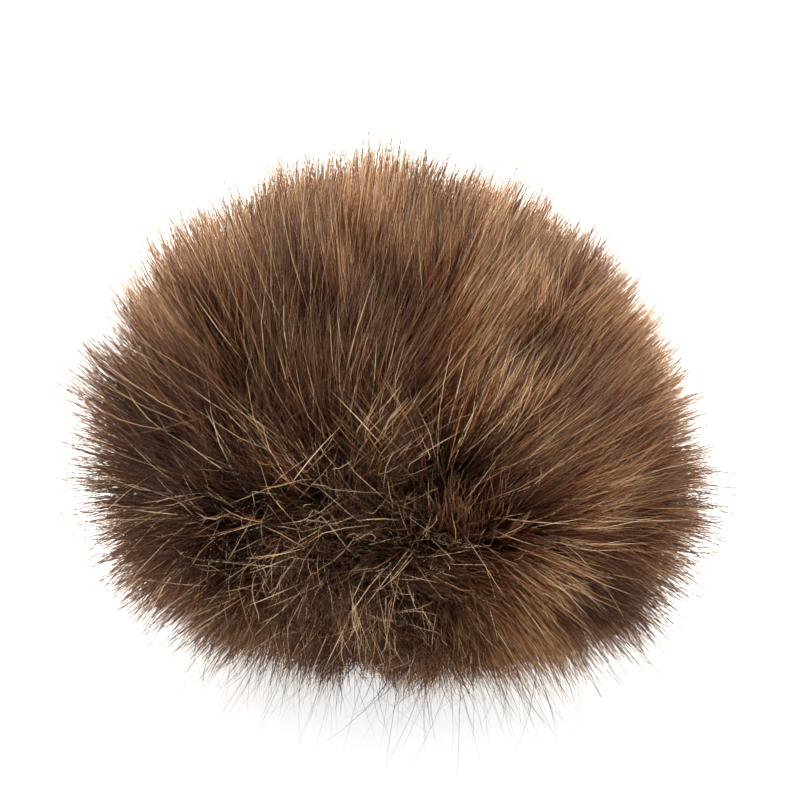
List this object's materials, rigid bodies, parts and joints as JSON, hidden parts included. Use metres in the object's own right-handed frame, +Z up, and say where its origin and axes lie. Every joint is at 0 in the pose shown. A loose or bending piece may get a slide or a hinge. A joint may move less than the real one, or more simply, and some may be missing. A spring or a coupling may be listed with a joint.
{
  "type": "furry windscreen",
  "caption": "Ball-shaped faux-fur wind cover sewn from a crown panel and a base panel over an open-cell foam core, with a rubber collar that grips a miniature microphone.",
  "frame": {"origin": "centre of the resting face, on the axis of the microphone bore", "axes": "+Z up along the bore axis, towards the crown; the bore's mouth faces -Z"},
  "size_m": [0.05, 0.05, 0.044],
  "materials": {
    "crown_fur": "long brown acrylic pile, dark at the roots and tan at the tips",
    "base_fur": "long brown acrylic pile, dark at the roots, with black tips",
    "backing": "dark brown knitted polyester",
    "seam_thread": "dark polyester thread",
    "binding": "black woven tape",
    "elastic": "round covered elastic",
    "ferrule": "crimped brass",
    "collar": "matte black silicone rubber",
    "mesh": "black knitted mesh",
    "foam": "charcoal open-cell polyurethane foam"
  },
  "bodies": {
    "core": {"foam_core": "foam", "mic_sleeve": "mesh", "rubber_collar": "collar"},
    "cover": {"upper_pile": "crown_fur", "lower_pile": "base_fur", "upper_backing": "backing", "lower_backing": "backing", "seam_overlock": "seam_thread", "hem_stitches": "seam_thread", "hem_binding": "binding", "hem_elastic": "elastic", "elastic_ferrule": "ferrule"}
  },
  "joints": [
    {"name": "cover_turn", "type": "hinge", "parent": "core", "child": "cover", "pos_m": [0, 0, 0.0075], "axis": [0, 0, 1], "continuous": true}
  ]
}
